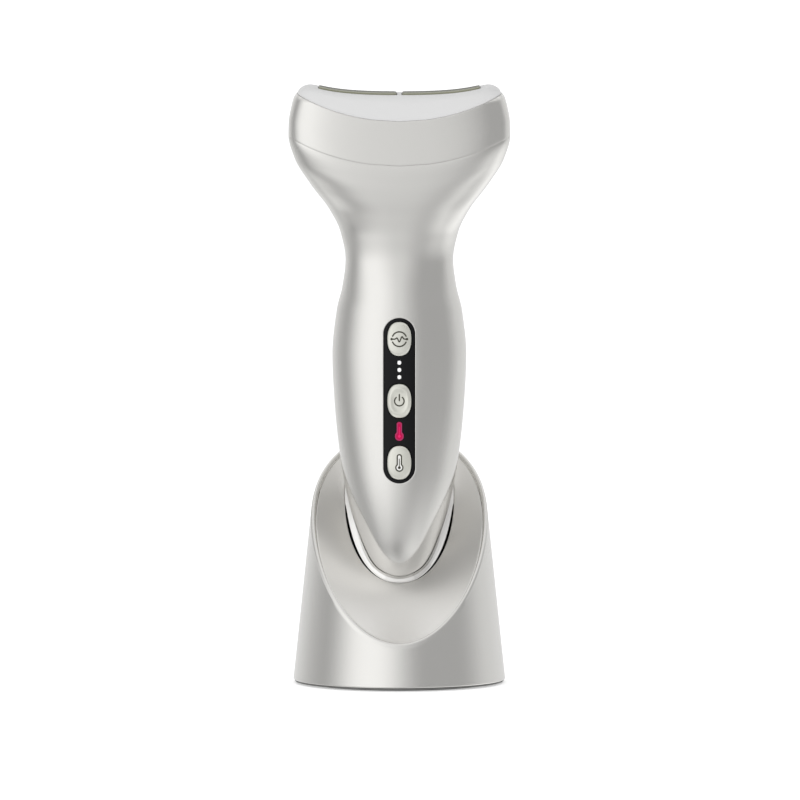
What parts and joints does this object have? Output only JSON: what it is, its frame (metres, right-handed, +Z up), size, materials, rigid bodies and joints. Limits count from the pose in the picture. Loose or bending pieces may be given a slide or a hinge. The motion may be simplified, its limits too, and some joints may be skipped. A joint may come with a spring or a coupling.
{
  "type": "hot and cold skincare device",
  "caption": "Handheld hot and cold skincare device with a wide flat metal-plated head and a front key strip, standing upright in a sloped charging dock.",
  "frame": {"origin": "middle of the dock's underside, on the surface that it stands on", "axes": "+Z up along the handset, -Y out of the front with the buttons, +X to the right of someone facing the front"},
  "size_m": [0.0798, 0.0762, 0.2154],
  "materials": {
    "paint": "satin",
    "bezel_white": "matte",
    "gloss_black": "gloss",
    "key_grey": "satin",
    "plate_metal": "satin",
    "light_white": "clear",
    "lens_red": "clear",
    "ceramic": "matte",
    "heat_sink_metal": "satin",
    "steel": "brushed",
    "gold": "polished",
    "dark_plastic": "matte",
    "frame_plastic": "matte",
    "board_green": "satin",
    "cell_wrap": "satin",
    "pad_rubber": "matte"
  },
  "bodies": {
    "dock": {"dock_shell": "paint", "dock_dish": "paint", "dock_cup": "paint", "base_plate": "dark_plastic", "non_slip_pad": "pad_rubber", "ballast_plate": "steel", "dock_board": "board_green", "usb_socket": "steel", "pin_housing": "dark_plastic", "pin_spring_left": "steel", "pin_spring_right": "steel", "base_screw_1": "steel", "base_screw_2": "steel", "base_screw_3": "steel"},
    "handset": {"front_shell": "paint", "rear_shell": "paint", "head_collar": "paint", "head_bezel": "bezel_white", "contact_plate_left": "plate_metal", "contact_plate_right": "plate_metal", "peltier_left": "ceramic", "peltier_right": "ceramic", "heat_sink": "heat_sink_metal", "temperature_sensor": "dark_plastic", "fan_frame": "dark_plastic", "control_panel": "gloss_black", "level_light_guide": "light_white", "heat_indicator_lens": "lens_red", "control_board": "board_green", "mode_switch": "dark_plastic", "power_switch": "dark_plastic", "temperature_switch": "dark_plastic", "inner_frame": "frame_plastic", "battery": "cell_wrap", "vibration_motor": "steel", "charge_contact_left": "gold", "charge_contact_right": "gold"},
    "fan": {"fan_rotor": "frame_plastic"},
    "motor_weight": {"vibration_weight": "steel"},
    "mode_key": {"mode_button": "key_grey", "mode_stem": "dark_plastic"},
    "power_key": {"power_button": "key_grey", "power_stem": "dark_plastic"},
    "temperature_key": {"temperature_button": "key_grey", "temperature_stem": "dark_plastic"},
    "left_pin": {"charge_pin_left": "gold"},
    "right_pin": {"charge_pin_right": "gold"}
  },
  "joints": [
    {"name": "handset_lift", "type": "slide", "parent": "dock", "child": "handset", "axis": [0, 0, 1], "range_m": [0, 0.06]},
    {"name": "mode_button_press", "type": "slide", "parent": "handset", "child": "mode_key", "axis": [0, 1, 0], "range_m": [0, 0.0004], "stiffness_N_per_m": 400, "springref_m": -0.002},
    {"name": "power_button_press", "type": "slide", "parent": "handset", "child": "power_key", "axis": [0, 1, 0], "range_m": [0, 0.0004], "stiffness_N_per_m": 400, "springref_m": -0.002},
    {"name": "temperature_button_press", "type": "slide", "parent": "handset", "child": "temperature_key", "axis": [0, 1, 0], "range_m": [0, 0.0004], "stiffness_N_per_m": 400, "springref_m": -0.002},
    {"name": "fan_spin", "type": "hinge", "parent": "handset", "child": "fan", "pos_m": [0, 0, 0.18995], "axis": [0, 0, 1], "continuous": true},
    {"name": "motor_weight_spin", "type": "hinge", "parent": "handset", "child": "motor_weight", "pos_m": [0.003, 0.00037, 0.05865], "axis": [1, 0, 0], "continuous": true},
    {"name": "left_pin_press", "type": "slide", "parent": "dock", "child": "left_pin", "axis": [0, 0, 1], "range_m": [-0.0008, 0], "stiffness_N_per_m": 300, "springref_m": 0.002, "deforming": ["pin_spring_left"]},
    {"name": "right_pin_press", "type": "slide", "parent": "dock", "child": "right_pin", "axis": [0, 0, 1], "range_m": [-0.0008, 0], "stiffness_N_per_m": 300, "springref_m": 0.002, "deforming": ["pin_spring_right"]}
  ]
}
